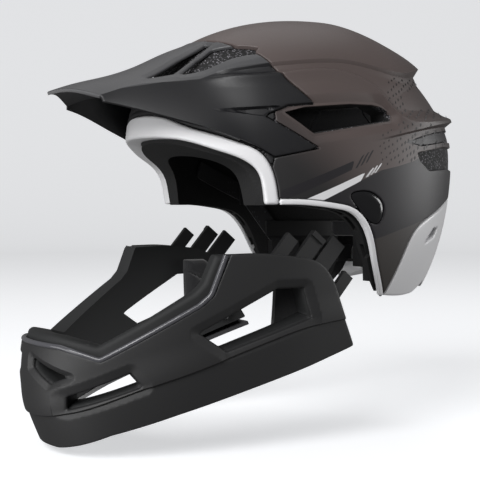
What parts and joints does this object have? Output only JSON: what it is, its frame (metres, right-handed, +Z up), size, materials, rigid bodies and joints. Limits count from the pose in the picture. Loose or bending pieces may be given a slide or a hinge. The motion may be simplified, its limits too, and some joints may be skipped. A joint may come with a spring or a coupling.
{
  "type": "full face helmet",
  "caption": "Downhill bike helmet with a visor and stepped rear fins; its full face chin guard slides on at the sides and is let go by a button each side.",
  "frame": {"origin": "centre of the wearer's head, on the symmetry plane, where the head cavity is widest", "axes": "+Z up through the crown, -Y forwards out of the face opening, +X to the wearer's left"},
  "size_m": [0.2101, 0.3546, 0.3153],
  "materials": {
    "impact_foam": "matt, beaded",
    "shell": "matt",
    "visor": "matt",
    "band": "matt",
    "trim": "satin",
    "nylon": "satin",
    "padding": "knitted",
    "webbing": "woven",
    "spring_steel": "bright",
    "button": "gloss",
    "dial_rubber": "matt",
    "chin_shell": "matt",
    "piping": "gloss"
  },
  "bodies": {
    "helmet": {"eps_liner": "impact_foam", "outer_shell": "shell", "visor": "visor", "brow_band": "band", "face_trim": "trim", "lower_trim_left": "trim", "lower_trim_right": "trim", "nape_piece": "trim", "socket_left": "nylon", "socket_right": "nylon", "strap_anchors": "nylon", "brow_pad": "padding", "crown_pads": "padding", "rear_pad_left": "padding", "rear_pad_right": "padding", "dial_housing": "nylon", "fit_cradle": "nylon", "nape_pad": "padding", "strap_left": "webbing", "strap_right": "webbing", "strap_sliders": "nylon", "buckle_socket": "nylon", "buckle_prong": "nylon", "button_spring_left": "spring_steel", "button_spring_right": "spring_steel"},
    "left_button": {"release_button_left": "button"},
    "right_button": {"release_button_right": "button"},
    "dial": {"fit_dial": "dial_rubber", "dial_pinion": "nylon"},
    "left_rack": {"rack_left": "nylon"},
    "right_rack": {"rack_right": "nylon"},
    "chin_guard": {"chin_shell": "chin_shell", "chin_liner": "impact_foam", "chin_piping": "piping", "chin_lip": "band", "prong_frame_left": "nylon", "prong_frame_right": "nylon", "cheek_pad_left": "padding", "cheek_pad_right": "padding"}
  },
  "joints": [
    {"name": "chin_guard_dock", "type": "slide", "parent": "helmet", "child": "chin_guard", "axis": [0, 0.6428, 0.766], "range_m": [0, 0.043]},
    {"name": "release_left", "type": "slide", "parent": "helmet", "child": "left_button", "axis": [-1, 0, 0], "range_m": [0, 0.002], "stiffness_N_per_m": 600, "springref_m": -0.002, "deforming": ["button_spring_left"]},
    {"name": "release_right", "type": "slide", "parent": "helmet", "child": "right_button", "axis": [1, 0, 0], "range_m": [0, 0.002], "stiffness_N_per_m": 600, "springref_m": -0.002, "deforming": ["button_spring_right"]},
    {"name": "fit_dial_turn", "type": "hinge", "parent": "helmet", "child": "dial", "pos_m": [0, 0.092, -0.085], "axis": [0, -1, 0], "range_deg": [0, 120]},
    {"name": "rack_left_slide", "type": "slide", "parent": "helmet", "child": "left_rack", "axis": [-1, 0, 0], "range_m": [0, 0.01047]},
    {"name": "rack_right_slide", "type": "slide", "parent": "helmet", "child": "right_rack", "axis": [1, 0, 0], "range_m": [0, 0.01047]}
  ],
  "couplings": [
    {"joint": "fit_dial_turn", "follows": "rack_left_slide", "rad_per_m": 200},
    {"joint": "rack_right_slide", "follows": "rack_left_slide", "ratio": 1}
  ]
}
